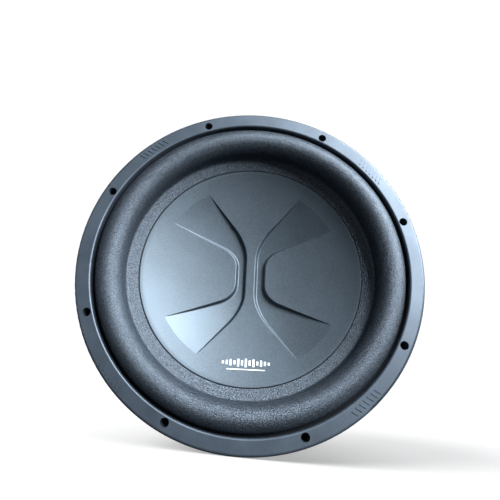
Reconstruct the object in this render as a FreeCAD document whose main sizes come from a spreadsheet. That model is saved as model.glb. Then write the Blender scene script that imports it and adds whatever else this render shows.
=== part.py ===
"""Car subwoofer driver, 12-inch class, as a parametric FreeCAD document.

Every piece is drawn in the driver's own directions: +z points out of the front, +y points up, and
z = 0 is the baffle plane, the rear face of the mounting flange.  The FACING placement then turns
the driver so that its front faces -Y and +Z stays up.
"""
import FreeCAD, Part
import math
import os
import re

import Sketcher

Vector = FreeCAD.Vector
Rotation = FreeCAD.Rotation
Placement = FreeCAD.Placement

AXIS = Vector(0, 0, 1)
FACING = Placement(Vector(0, 0, 0), Rotation(Vector(1, 0, 0), 90))

# Driving dimensions: millimetres, degrees and counts.
DIMENSIONS = [
    # mounting flange and trim ring
    ("flange_radius", 157.0),
    ("ring_radius", 157.5),
    ("ring_bore", 143.5),
    ("ring_front", 10.0),
    ("ring_inner_round", 1.6),
    ("ring_outer_round", 2.6),
    ("rebate_radius", 146.0),
    ("bolt_circle", 149.0),
    ("bolt_count", 8),
    ("bolt_angle", 22.5),
    ("flange_hole", 3.25),
    ("ring_hole", 3.8),
    ("grip_rise", 0.5),
    ("grip_low", 147.0),
    ("grip_high", 153.0),
    ("grip_width", 1.6),
    ("grip_pitch", 4.4),
    ("grip_slant", 2.2),
    # stamped basket
    ("steel_wall", 2.0),
    ("bowl_radius", 137.5),
    ("bowl_depth", 24.0),
    ("bend_round", 3.0),
    ("ledge_depth", 67.0),
    ("well_radius", 70.0),
    ("plate_depth", 97.0),
    ("basket_bore", 36.0),
    ("spoke_count", 6),
    ("spoke_half", 10.5),
    ("window_low", 96.0),
    ("window_high", 132.0),
    ("rib_half", 3.2),
    ("rib_rise", 2.2),
    ("lip_turn", 1.3),
    ("lip_rise", 3.4),
    ("slot_count", 12),
    ("slot_width", 12.0),
    ("slot_top", 73.0),
    ("slot_bottom", 91.0),
    # foam surround
    ("foam_wall", 1.6),
    ("land_radius", 145.0),
    ("roll_outer", 141.0),
    ("crest_radius", 130.6),
    ("roll_inner", 117.6),
    ("lip_depth", 9.9),
    ("lip_inner", 106.5),
    # dish and cone
    ("dish_radius", 106.0),
    ("dish_edge", 14.4),
    ("dish_centre", 36.0),
    ("dish_wall", 1.8),
    ("dish_clocking", 3.0),
    ("recess_radius", 91.5),
    ("recess_depth", 5.5),
    ("arm_outer_angle", 59.9),
    ("arm_inner_angle", 30.6),
    ("spine_outer", 4.6),
    ("spine_outer_rise", 26.0),
    ("knee_outer", 13.5),
    ("knee_outer_rise", 43.5),
    ("spine_inner", 14.6),
    ("spine_inner_rise", 15.0),
    ("knee_inner", 23.2),
    ("knee_inner_rise", 24.8),
    ("cone_wall", 1.0),
    ("cone_rim", 116.9),
    ("cone_rim_depth", 12.8),
    ("cone_seat_depth", 16.6),
    ("cone_break", 98.0),
    ("cone_break_depth", 20.2),
    ("neck_bore", 32.6),
    ("neck_depth", 54.0),
    ("neck_height", 4.0),
    # voice coil
    ("former_bore", 32.0),
    ("former_wall", 0.5),
    ("former_front", 48.0),
    ("former_rear", 116.0),
    ("coil_front", 87.0),
    ("coil_rear", 115.0),
    ("coil_layer", 0.7),
    ("coil_gap", 0.1),
    ("tab_wall", 0.6),
    ("tab_width", 4.0),
    ("tab_top", 58.2),
    ("tab_bottom", 62.2),
    ("tab_angle", 13.0),
    # spider
    ("spider_wall", 0.6),
    ("spider_bore", 32.8),
    ("spider_neck", 33.6),
    ("spider_collar", 2.0),
    ("spider_flat", 36.0),
    ("spider_radius", 80.0),
    ("wave_width", 3.8),
    ("wave_rise", 1.3),
    ("wave_count", 9),
    # motor
    ("top_plate_radius", 72.0),
    ("top_plate_wall", 8.0),
    ("gap_radius", 34.7),
    ("magnet_radius", 75.0),
    ("magnet_bore", 40.0),
    ("magnet_wall", 17.0),
    ("yoke_radius", 73.5),
    ("yoke_wall", 8.0),
    ("pole_radius", 31.3),
    ("pole_front", 95.0),
    ("vent_radius", 14.0),
    ("vent_flare", 3.0),
    ("short_ring_wall", 5.0),
    ("short_ring_radius", 39.5),
    ("screen_wall", 0.8),
    ("screen_hole", 1.5),
    ("screen_pitch", 4.6),
    ("boot_bore", 75.2),
    ("boot_radius", 78.0),
    ("boot_front", 104.0),
    ("boot_lip", 50.0),
    ("boot_round", 2.0),
    ("screw_circle", 52.0),
    ("screw_count", 6),
    ("screw_radius", 2.4),
    ("screw_hole", 2.5),
    ("screw_head", 4.5),
    ("screw_head_rise", 3.2),
    ("screw_reach", 7.0),
    ("screw_socket", 1.7),
    # push terminals
    ("base_inner", 73.0),
    ("base_outer", 90.0),
    ("base_half", 19.0),
    ("base_rear", 91.0),
    ("ear_inner", 77.0),
    ("ear_half", 27.5),
    ("ear_wall", 3.0),
    ("button_pitch", 9.5),
    ("button_half", 4.8),
    ("button_gap", 0.2),
    ("button_rear", 82.0),
    ("button_front", 96.5),
    ("button_travel", 4.0),
    ("button_round", 0.9),
    ("socket_floor", 76.0),
    ("socket_level", 80.0),
    ("wire_hole", 1.9),
    ("wire_reach", 83.0),
    ("contact_wall", 0.8),
    ("contact_slack", 0.1),
    ("stem_reach", 83.6),
    ("stem_low", 15.0),
    ("stem_high", 18.0),
    ("tag_low", 12.8),
    ("tag_front", 57.0),
    ("foot_low", 6.0),
    ("foot_inner", 80.0),
    ("foot_outer", 86.0),
    ("rivet_reach", 83.5),
    ("rivet_side", 23.0),
    ("rivet_radius", 1.6),
    ("rivet_head", 2.8),
    ("rivet_head_rise", 1.0),
    ("spring_radius", 2.8),
    ("spring_wire", 0.35),
    ("spring_coils", 4),
    # tinsel leads
    ("lead_radius", 0.8),
    ("lead_level", 60.2),
    ("lead_straight", 9.0),
]

doc = FreeCAD.newDocument("Subwoofer")
sheet = doc.addObject("Spreadsheet::Sheet", "Dimensions")
for row, (alias, value) in enumerate(DIMENSIONS, 1):
    sheet.set("A%d" % row, alias)
    sheet.set("B%d" % row, str(value))
    sheet.setAlias("B%d" % row, alias)
doc.recompute()

pieces = []


def size(alias):
    """The value of one cell, for the few shapes that are worked out in code."""
    return float(sheet.get(alias))


def bound(text):
    """An expression in plain aliases, rewritten to read the sheet's cells."""
    return re.sub(r"\b[a-z]+(_[a-z]+)+\b", lambda word: "Dimensions." + word.group(0), str(text))


def number(text):
    """What an expression comes to now, used only to draw a sketch near its solution."""
    return float(sheet.evalExpression(bound(text)))


def bind(item, **properties):
    """Binds properties of a feature to expressions in the sheet's aliases."""
    for name, text in properties.items():
        item.setExpression(name.replace("__", "."), bound(text))
    return item


def piece(item, name, placement=FACING):
    """Labels a finished sub-part, puts it in its place and lists it for export."""
    item.Label = name
    item.Placement = placement
    pieces.append(item)
    return item


# ---- sketches ------------------------------------------------------------------------------


def plane(body, role):
    """One of the body's own origin planes or axes."""
    return [item for item in body.Origin.OriginFeatures if item.Role == role][0]


def body_sketch(body, name, role, height="0", turn="0"):
    """A sketch on one of the body's planes, moved along its normal or turned in its frame."""
    sketch = body.newObject("Sketcher::SketchObject", name)
    sketch.AttachmentSupport = (plane(body, role), [""])
    sketch.MapMode = "FlatFace"
    if height != "0":
        sketch.setExpression("AttachmentOffset.Base.z", bound(height))
    if turn != "0":
        direction = Vector(0, 0, 1) if role == "XY_Plane" else Vector(0, 1, 0)
        sketch.AttachmentOffset = Placement(Vector(0, 0, number(height)), Rotation(direction, 1))
        sketch.setExpression("AttachmentOffset.Rotation.Angle", bound(turn))
    return sketch


def pin_coordinate(sketch, geometry, end, kind, text):
    """Ties one coordinate of a sketch point to an expression."""
    value = number(text)
    if abs(value) < 1e-9:
        line = -2 if kind == "DistanceX" else -1
        sketch.addConstraint(Sketcher.Constraint("PointOnObject", geometry, end, line))
        return
    index = sketch.addConstraint(Sketcher.Constraint(kind, -1, 1, geometry, end, value))
    sketch.setExpression("Constraints[%d]" % index, bound(text))


def arc_between(start, end, radius, side):
    """The short arc from start to end whose centre lies left (+1) or right (-1) of the chord."""
    chord = end - start
    reach = math.sqrt(radius ** 2 - (chord.Length / 2) ** 2)
    across = Vector(-chord.y, chord.x, 0).normalize()
    centre = (start + end) * 0.5 + across * reach * side
    first, last = (start, end) if side > 0 else (end, start)
    angles = [math.atan2(point.y - centre.y, point.x - centre.x) for point in (first, last)]
    if angles[1] < angles[0]:
        angles[1] += 2 * math.pi
    return Part.ArcOfCircle(Part.Circle(centre, AXIS, radius), angles[0], angles[1])


def outline(sketch, corners):
    """Draws one closed outline.  Each corner is (x, y) or (x, y, radius, side): the last two make
    the run that starts there an arc.  All are expressions in the sheet's aliases."""
    points = [Vector(number(corner[0]), number(corner[1]), 0) for corner in corners]
    runs = []
    for index, corner in enumerate(corners):
        start = points[index]
        end = points[(index + 1) % len(points)]
        if len(corner) == 2:
            runs.append((sketch.addGeometry(Part.LineSegment(start, end)), 1, 2))
            continue
        arc = sketch.addGeometry(arc_between(start, end, number(corner[2]), corner[3]))
        radius = sketch.addConstraint(Sketcher.Constraint("Radius", arc, number(corner[2])))
        sketch.setExpression("Constraints[%d]" % radius, bound(corner[2]))
        runs.append((arc, 1, 2) if corner[3] > 0 else (arc, 2, 1))
    for index, corner in enumerate(corners):
        geometry, start, _ = runs[index]
        before, _, end = runs[index - 1]
        sketch.addConstraint(Sketcher.Constraint("Coincident", before, end, geometry, start))
        pin_coordinate(sketch, geometry, start, "DistanceX", corner[0])
        pin_coordinate(sketch, geometry, start, "DistanceY", corner[1])
    return sketch


def circle(sketch, x, y, radius):
    """A circle whose centre and radius are expressions."""
    centre = Vector(number(x), number(y), 0)
    item = sketch.addGeometry(Part.Circle(centre, AXIS, number(radius)))
    index = sketch.addConstraint(Sketcher.Constraint("Radius", item, number(radius)))
    sketch.setExpression("Constraints[%d]" % index, bound(radius))
    pin_coordinate(sketch, item, 3, "DistanceX", x)
    pin_coordinate(sketch, item, 3, "DistanceY", y)
    return sketch


# ---- PartDesign features ---------------------------------------------------------------------


def new_body(name):
    """An empty body, named after the sub-part it will become."""
    return doc.addObject("PartDesign::Body", name + "_body")


def turned(body, name, corners):
    """A solid of revolution about the driver's axis, from corners given as (radius, z)."""
    sketch = outline(body_sketch(body, name + "_profile", "XZ_Plane"), corners)
    feature = body.newObject("PartDesign::Revolution", name)
    feature.Profile = sketch
    feature.ReferenceAxis = (sketch, ["V_Axis"])
    feature.Angle = 360
    body.Tip = feature
    doc.recompute()
    return feature


def sector(body, name, corners, turn, angle):
    """A part-turn revolution, centred on a half plane that stands at the given azimuth."""
    sketch = outline(body_sketch(body, name + "_profile", "XZ_Plane", turn=turn), corners)
    feature = body.newObject("PartDesign::Revolution", name)
    feature.Profile = sketch
    feature.ReferenceAxis = (sketch, ["V_Axis"])
    feature.Midplane = True
    bind(feature, Angle=angle)
    body.Tip = feature
    doc.recompute()
    return feature


def pocket(body, name, sketch, depth=None):
    """Cuts a sketch towards -z, through everything or to a depth, and checks that it cut."""
    before = body.Shape.Volume
    feature = body.newObject("PartDesign::Pocket", name)
    feature.Profile = sketch
    if depth is None:
        feature.Type = 1
    else:
        bind(feature, Length=depth)
    body.Tip = feature
    doc.recompute()
    if feature.Shape.Volume > before - 1e-3:
        raise RuntimeError(name + " cut nothing")
    return feature


def polar(body, name, originals, count):
    """Repeats features about the driver's axis."""
    pattern = body.newObject("PartDesign::PolarPattern", name)
    pattern.Originals = originals
    pattern.Axis = (plane(body, "Z_Axis"), [""])
    pattern.Angle = 360
    bind(pattern, Occurrences=count)
    body.Tip = pattern
    doc.recompute()
    return pattern


def rims(feature, radius, height):
    """Names of the full circular edges of a feature at a radius and a z."""
    found = []
    for index, edge in enumerate(feature.Shape.Edges, 1):
        curve = edge.Curve
        if not isinstance(curve, Part.Circle):
            continue
        near = abs(curve.Radius - radius) < 1e-3 and abs(curve.Center.z - height) < 1e-3
        if near and math.hypot(curve.Center.x, curve.Center.y) < 1e-3:
            found.append("Edge%d" % index)
    if not found:
        raise RuntimeError("no rim at radius %.2f, z %.2f on %s" % (radius, height, feature.Name))
    return found


def rounded(body, name, radius, places):
    """Rounds the circular edges at each (radius, z) in places."""
    base = body.Tip
    edges = [edge for place in places for edge in rims(base, number(place[0]), number(place[1]))]
    feature = body.newObject("PartDesign::Fillet", name)
    feature.Base = (base, edges)
    bind(feature, Radius=radius)
    body.Tip = feature
    doc.recompute()
    return feature


# ---- Part features -----------------------------------------------------------------------------


def block(name, low, high):
    """A box between two corners, each corner three expressions."""
    box = doc.addObject("Part::Box", name)
    for side, axis, start, end in zip(("Length", "Width", "Height"), "xyz", low, high):
        box.setExpression(side, bound("(%s) - (%s)" % (end, start)))
        box.setExpression("Placement.Base." + axis, bound(start))
    return box


def rod(name, radius, low, high, x="0", y="0"):
    """A cylinder along z between two heights."""
    cylinder = doc.addObject("Part::Cylinder", name)
    bind(cylinder, Radius=radius, Height="(%s) - (%s)" % (high, low))
    for axis, text in zip("xyz", (x, y, low)):
        cylinder.setExpression("Placement.Base." + axis, bound(text))
    return cylinder


def joined(name, items):
    """The union of several Part features."""
    fuse = doc.addObject("Part::MultiFuse", name)
    fuse.Shapes = items
    fuse.Refine = True
    return fuse


def cut(name, base, tools):
    """A Part feature less the union of its tools."""
    feature = doc.addObject("Part::Cut", name)
    feature.Base = base
    feature.Tool = tools[0] if len(tools) == 1 else joined(name + "_tools", tools)
    return feature


def grouped(name, items):
    """Separate solids that share one sub-part."""
    compound = doc.addObject("Part::Compound", name + "_group")
    compound.Links = items
    return compound


def smooth_path(points):
    """Straight runs joined by tangent arcs, each as large as its two runs allow."""
    edges = []
    here = points[0]
    radii = []
    for before, corner, after in zip(points, points[1:], points[2:]):
        into = (corner - before).normalize()
        out = (after - corner).normalize()
        half_turn = math.acos(max(-1.0, min(1.0, into.dot(out)))) / 2
        run = 0.45 * min((corner - before).Length, (after - corner).Length)
        radius = run / math.tan(half_turn)
        begin = corner - into * run
        end = corner + out * run
        bow = (out - into).normalize()
        middle = corner + bow * (radius / math.cos(half_turn) - radius)
        edges.append(Part.LineSegment(here, begin).toShape())
        edges.append(Part.Arc(begin, middle, end).toShape())
        radii.append(radius)
        here = end
    edges.append(Part.LineSegment(here, points[-1]).toShape())
    return Part.Wire(edges), radii


def tube(points, radius):
    """A round tube along a smooth path, with the path's length and its smallest radius."""
    path, radii = smooth_path(points)
    direction = (points[1] - points[0]).normalize()
    section = Part.Wire(Part.Circle(points[0], direction, radius).toShape())
    return path.makePipeShell([section], True, True), path.Length, min(radii)


def around(angle, radius=0.0):
    """A placement turned about the driver's axis and moved out from it."""
    turn = Rotation(AXIS, angle)
    return Placement(turn.multVec(Vector(radius, 0, 0)), turn)


# ---- frame of the driver -----------------------------------------------------------------------


def make_basket():
    """Stamped steel frame: flange, bowl, six spokes, spider ledge, well and motor seat."""
    body = new_body("basket")
    bend = "steel_wall * tan(22.5)"
    turned(body, "stamping", [
        ("well_radius - steel_wall", "-ledge_depth"),
        ("well_radius - steel_wall", "-plate_depth + steel_wall"),
        ("basket_bore", "-plate_depth + steel_wall"),
        ("basket_bore", "-plate_depth"),
        ("well_radius", "-plate_depth"),
        ("well_radius", "-ledge_depth - steel_wall"),
        ("bowl_radius - steel_wall + bowl_depth - ledge_depth + " + bend, "-ledge_depth - steel_wall"),
        ("bowl_radius", "-bowl_depth - " + bend),
        ("bowl_radius", "0"),
        ("flange_radius", "0"),
        ("flange_radius", "steel_wall"),
        ("bowl_radius - steel_wall", "steel_wall"),
        ("bowl_radius - steel_wall", "-bowl_depth"),
        ("bowl_radius - steel_wall + bowl_depth - ledge_depth", "-ledge_depth"),
    ])
    rounded(body, "bend_rounds", "bend_round", [
        ("bowl_radius - steel_wall", "steel_wall"),
        ("bowl_radius - steel_wall", "-bowl_depth"),
        ("bowl_radius", "-bowl_depth - " + bend),
        ("well_radius", "-plate_depth"),
    ])

    windows = body_sketch(body, "window_outline", "XY_Plane", "-bowl_depth / 2")
    start = "spoke_half"
    end = "(360 / spoke_count - spoke_half)"
    outline(windows, [
        ("window_low * cos(%s)" % start, "window_low * sin(%s)" % start),
        ("window_high * cos(%s)" % start, "window_high * sin(%s)" % start, "window_high", 1),
        ("window_high * cos(%s)" % end, "window_high * sin(%s)" % end),
        ("window_low * cos(%s)" % end, "window_low * sin(%s)" % end, "window_low", -1),
    ])
    window = pocket(body, "window", windows)
    polar(body, "windows", [window], "spoke_count")

    make_spoke_stiffeners(body)

    holes = body_sketch(body, "flange_hole_outline", "XY_Plane", "steel_wall")
    circle(holes, "bolt_circle * cos(bolt_angle)", "bolt_circle * sin(bolt_angle)", "flange_hole")
    hole = pocket(body, "flange_hole_cut", holes, "steel_wall * 2")
    polar(body, "flange_holes", [hole], "bolt_count")

    seats = body_sketch(body, "screw_hole_outline", "XY_Plane", "-plate_depth + steel_wall")
    circle(seats, "screw_circle", "0", "screw_hole")
    seat = pocket(body, "screw_hole_cut", seats, "steel_wall * 2")
    polar(body, "screw_holes", [seat], "screw_count")

    make_well_slots(body)
    make_ledge_slots(body)
    piece(body, "basket")


def make_spoke_stiffeners(body):
    """A pressed rib down each spoke and a turned lip along both of its edges."""
    outer_low = "bowl_radius - steel_wall + bowl_depth - ledge_depth + steel_wall * tan(22.5)"
    foot = "window_low - 1"
    head = "window_high + 1"

    def strip(rise):
        sunk = "(-ledge_depth - steel_wall + {r} - (%s))" % outer_low
        low = sunk.format(r="(" + foot + ")")
        high = sunk.format(r="(" + head + ")")
        inset = "steel_wall / 2"
        return [
            (foot, low + " + " + inset),
            (foot, low + " - " + rise),
            (head, high + " - " + rise),
            (head, high + " + " + inset),
        ]

    rib = sector(body, "spoke_rib", strip("rib_rise"), "0", "rib_half * 2")
    lips = []
    for name, sign in (("lip_right", "-1"), ("lip_left", "1")):
        turn = "%s * (spoke_half - lip_turn / 2)" % sign
        lips.append(sector(body, name, strip("lip_rise"), turn, "lip_turn"))
    polar(body, "spoke_stiffeners", [rib] + lips, "spoke_count")


def make_well_slots(body):
    """Cooling slots round the well, behind the spider ledge."""
    slot = body.newObject("Sketcher::SketchObject", "slot_outline")
    slot.AttachmentSupport = (plane(body, "YZ_Plane"), [""])
    slot.MapMode = "FlatFace"
    outline(slot, [
        ("-slot_width / 2", "-slot_bottom"),
        ("slot_width / 2", "-slot_bottom"),
        ("slot_width / 2", "-slot_top"),
        ("-slot_width / 2", "-slot_top"),
    ])
    before = body.Shape.Volume
    feature = body.newObject("PartDesign::Pocket", "slot_cut")
    feature.Profile = slot
    feature.Reversed = True
    bind(feature, Length="well_radius + steel_wall")
    body.Tip = feature
    doc.recompute()
    if feature.Shape.Volume > before - 1e-3:
        raise RuntimeError("the cooling slot cut nothing")
    polar(body, "slots", [feature], "slot_count")


def make_ledge_slots(body):
    """Slots and rivet holes in the spider ledge, for the two push terminals."""
    sketch = body_sketch(body, "terminal_openings", "XY_Plane", "-ledge_depth")
    for side in ("1", "-1"):
        circle(sketch, "rivet_reach", side + " * rivet_side", "rivet_radius + contact_slack")
        near = "stem_reach - contact_slack * 4"
        far = "stem_reach + contact_wall + contact_slack * 4"
        low = side + " * (tag_low - contact_slack * 2)"
        high = side + " * (stem_high + contact_slack * 2)"
        outline(sketch, [(near, low), (far, low), (far, high), (near, high)])
    openings = pocket(body, "terminal_opening_cut", sketch, "steel_wall * 2")
    polar(body, "both_terminal_openings", [openings], "2")


def make_trim_ring():
    """Moulded ring over the flange, with screw holes and four groups of raised grip bars."""
    body = new_body("trim_ring")
    step = "steel_wall + foam_wall"
    turned(body, "ring_section", [
        ("ring_bore", step),
        ("rebate_radius", step),
        ("rebate_radius", "steel_wall"),
        ("ring_radius", "steel_wall"),
        ("ring_radius", "ring_front"),
        ("ring_bore", "ring_front"),
    ])
    rounded(body, "inner_round", "ring_inner_round", [("ring_bore", "ring_front")])
    rounded(body, "outer_round", "ring_outer_round", [("ring_radius", "ring_front")])
    holes = body_sketch(body, "ring_hole_outline", "XY_Plane", "ring_front")
    circle(holes, "bolt_circle * cos(bolt_angle)", "bolt_circle * sin(bolt_angle)", "ring_hole")
    hole = pocket(body, "ring_hole_cut", holes)
    polar(body, "ring_holes", [hole], "bolt_count")

    bars = body_sketch(body, "grip_bar_outline", "XY_Plane", "ring_front", turn="45")
    for place in range(-3, 4):
        start = "%d * grip_pitch" % place
        outline(bars, [
            ("grip_low", start + " - grip_slant / 2 - grip_width / 2"),
            ("grip_high", start + " + grip_slant / 2 - grip_width / 2"),
            ("grip_high", start + " + grip_slant / 2 + grip_width / 2"),
            ("grip_low", start + " - grip_slant / 2 + grip_width / 2"),
        ])
    grips = body.newObject("PartDesign::Pad", "grip_bars")
    grips.Profile = bars
    bind(grips, Length="grip_rise")
    body.Tip = grips
    doc.recompute()
    polar(body, "grip_bar_groups", [grips], "4")
    piece(body, "trim_ring")


# ---- moving parts ------------------------------------------------------------------------------


def make_surround():
    """Foam half roll with an outer land on the flange and an inner lip on the cone."""
    body = new_body("surround")
    land = "steel_wall + foam_wall"
    crest = land + " + roll_outer - crest_radius"
    turned(body, "foam_roll", [
        ("land_radius", land),
        ("roll_outer", land, "roll_outer - crest_radius", 1),
        ("crest_radius", crest, "crest_radius - roll_inner", 1),
        ("roll_inner", crest + " - crest_radius + roll_inner"),
        ("roll_inner", "-lip_depth"),
        ("lip_inner", "-dish_edge"),
        ("lip_inner", "-dish_edge - foam_wall"),
        ("roll_inner + foam_wall", "-lip_depth - foam_wall"),
        ("roll_inner + foam_wall", crest + " - crest_radius + roll_inner",
         "crest_radius - roll_inner - foam_wall", -1),
        ("crest_radius", crest + " - foam_wall", "roll_outer - crest_radius - foam_wall", -1),
        ("roll_outer - foam_wall", land),
        ("roll_outer - foam_wall", "steel_wall"),
        ("land_radius", "steel_wall"),
    ])
    piece(body, "surround")


def ball(sagitta, reach):
    """Radius of the sphere whose cap has this sagitta at this reach, as an expression."""
    return "(((%s)^2 + (%s)^2) / (2 * (%s)))" % (reach, sagitta, sagitta)


def profile(name, corners):
    """A free-standing sketch of a half section, whose vertical is the driver's axis."""
    sketch = doc.addObject("Sketcher::SketchObject", name)
    sketch.Placement = Placement(Vector(0, 0, 0), Rotation(Vector(1, 0, 0), 90))
    return outline(sketch, corners)


def spun(name, corners):
    """A full turn of a free-standing half section."""
    feature = doc.addObject("Part::Revolution", name)
    feature.Source = profile(name + "_section", corners)
    feature.Axis = AXIS
    feature.Base = Vector(0, 0, 0)
    feature.Angle = 360
    feature.Solid = True
    return feature


def chevron(name, side):
    """Prism over one pressed chevron, left (-1) or right (+1) of the dish's middle strip."""
    sketch = doc.addObject("Sketcher::SketchObject", name + "_outline")
    turn = 1 if side == "-1" else -1

    def rim(angle, level):
        return (side + " * recess_radius * cos(%s)" % angle, level + "recess_radius * sin(%s)" % angle)

    corners = [
        rim("arm_outer_angle", "") + ("recess_radius", turn),
        rim("arm_inner_angle", ""),
        (side + " * knee_inner", "knee_inner_rise"),
        (side + " * spine_inner", "spine_inner_rise"),
        (side + " * spine_inner", "-spine_inner_rise"),
        (side + " * knee_inner", "-knee_inner_rise"),
        rim("arm_inner_angle", "-") + ("recess_radius", turn),
        rim("arm_outer_angle", "-"),
        (side + " * knee_outer", "-knee_outer_rise"),
        (side + " * spine_outer", "-spine_outer_rise"),
        (side + " * spine_outer", "spine_outer_rise"),
        (side + " * knee_outer", "knee_outer_rise"),
    ]
    outline(sketch, corners)
    bind(sketch, Placement__Base__z="-dish_centre - recess_depth - dish_wall * 3")
    return sketch


def prism(name, wire):
    """A prism from behind the dish to the baffle plane."""
    feature = doc.addObject("Part::Extrusion", name)
    feature.Base = wire
    feature.Dir = AXIS
    feature.DirMode = "Custom"
    feature.Solid = True
    bind(feature, LengthFwd="dish_centre + recess_depth + dish_wall * 3")
    return feature


def make_dish_cone():
    """Concave dish with two chevrons pressed into it, deepest beside the middle strip."""
    edge = "dish_edge"
    radius = ball("dish_centre - dish_edge", "dish_radius")
    shell = spun("dish_shell", [
        ("0", "-dish_centre - dish_wall", radius, 1),
        ("dish_radius", "-" + edge + " - dish_wall"),
        ("dish_radius", "-" + edge, radius, -1),
        ("0", "-dish_centre"),
    ])
    rim_level = "(-dish_centre + %s - sqrt(%s^2 - recess_radius^2))" % (radius, radius)
    floor_centre = "(-dish_centre - recess_depth)"
    floor_radius = ball(rim_level + " - " + floor_centre, "recess_radius")
    lens = spun("recess_lens", [
        ("0", floor_centre + " - dish_wall", floor_radius, 1),
        ("recess_radius", rim_level + " - dish_wall"),
        ("recess_radius", rim_level, radius, -1),
        ("0", "-dish_centre"),
    ])
    hollow = spun("recess_hollow", [
        ("0", floor_centre, floor_radius, 1),
        ("recess_radius", rim_level),
        ("recess_radius", "0"),
        ("0", "0"),
    ])
    openings = []
    walls = []
    for name, side in (("left_chevron", "-1"), ("right_chevron", "1")):
        wire = chevron(name, side)
        openings.append(prism(name, wire))
        wider = doc.addObject("Part::Offset2D", name + "_wall")
        wider.Source = wire
        wider.Join = 0
        bind(wider, Value="dish_wall")
        walls.append(prism(name + "_wall_prism", wider))

    bulge = doc.addObject("Part::Common", "recess_backs")
    bulge.Base = lens
    bulge.Tool = grouped("chevron_walls", walls)
    trough = doc.addObject("Part::Common", "recess_troughs")
    trough.Base = hollow
    trough.Tool = grouped("chevron_openings", openings)
    dish = cut("dish_cone_solid", joined("dish_with_backs", [shell, bulge]), [trough])
    doc.recompute()
    piece(dish, "dish_cone", FACING.multiply(around(size("dish_clocking"))))


def make_cone_body():
    """Thin drive cone: rim under the surround and dish, and a neck glued to the former."""
    body = new_body("cone_body")
    turned(body, "cone_section", [
        ("cone_rim", "-cone_rim_depth"),
        ("dish_radius", "-cone_seat_depth"),
        ("cone_break", "-cone_break_depth"),
        ("neck_bore + cone_wall", "-neck_depth"),
        ("neck_bore", "-neck_depth"),
        ("neck_bore", "-neck_depth - neck_height"),
        ("neck_bore + cone_wall", "-neck_depth - neck_height"),
        ("neck_bore + cone_wall", "-neck_depth - cone_wall * 1.3"),
        ("cone_break", "-cone_break_depth - cone_wall * 1.2"),
        ("dish_radius", "-cone_seat_depth - cone_wall"),
        ("cone_rim", "-cone_rim_depth - cone_wall"),
    ])
    piece(body, "cone_body")


def ring_body(name, inner, outer, low, high):
    """A plain turned ring."""
    body = new_body(name)
    turned(body, name + "_section", [(inner, low), (outer, low), (outer, high), (inner, high)])
    return body


def make_voice_coil():
    """Former, two windings on it, and four solder tabs between cone neck and spider."""
    former_radius = "former_bore + former_wall"
    former = ring_body("former", "former_bore", former_radius, "-former_rear", "-former_front")
    piece(former, "voice_coil_former")

    first = former_radius + " + coil_gap"
    second = first + " + coil_layer + coil_gap"
    windings = []
    for name, inner in (("inner_winding", first), ("outer_winding", second)):
        outer_rod = rod(name + "_outside", inner + " + coil_layer", "-coil_rear", "-coil_front")
        inner_rod = rod(name + "_inside", inner, "-coil_rear", "-coil_front")
        windings.append(cut(name, outer_rod, [inner_rod]))
    piece(grouped("windings", windings), "voice_coil_windings")

    tabs = []
    for index in range(4):
        inner = former_radius + " + coil_gap"
        tab = block("solder_tab_%d" % index, (inner, "-tab_width / 2", "-tab_bottom"),
                    (inner + " + tab_wall", "tab_width / 2", "-tab_top"))
        turn = 180 * (index // 2) + size("tab_angle") * (1 if index % 2 else -1)
        holder = grouped("tab_holder_%d" % index, [tab])
        holder.Placement = around(turn)
        tabs.append(holder)
    piece(grouped("solder_tabs", tabs), "coil_solder_tabs")


def make_spider():
    """Pleated centring disc between two flat lands, with a short collar round the former."""
    rear = "-ledge_depth"
    front = rear + " + spider_wall"
    pleats = []
    for corner in range(int(size("wave_count")) + 1):
        reach = "spider_flat + wave_width * (%d + 0.5)" % corner
        rise = "0" if corner == size("wave_count") else "%s wave_rise" % ("" if corner % 2 == 0 else "-")
        pleats.append((reach, rise))
    flat = ("spider_flat", "0")
    ripple = [flat] + pleats
    over = [(reach, "%s + (%s)" % (front, rise)) for reach, rise in ripple]
    under = [(reach, "%s + (%s)" % (rear, rise)) for reach, rise in ripple]
    body = new_body("spider")
    turned(body, "spider_section", [
        ("spider_bore", rear),
        ("spider_bore", front + " + spider_collar"),
        ("spider_neck", front + " + spider_collar"),
        ("spider_neck", front),
    ] + over + [
        ("spider_radius", front),
        ("spider_radius", rear),
    ] + under[::-1])
    piece(body, "spider")


# ---- motor -------------------------------------------------------------------------------------


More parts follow.
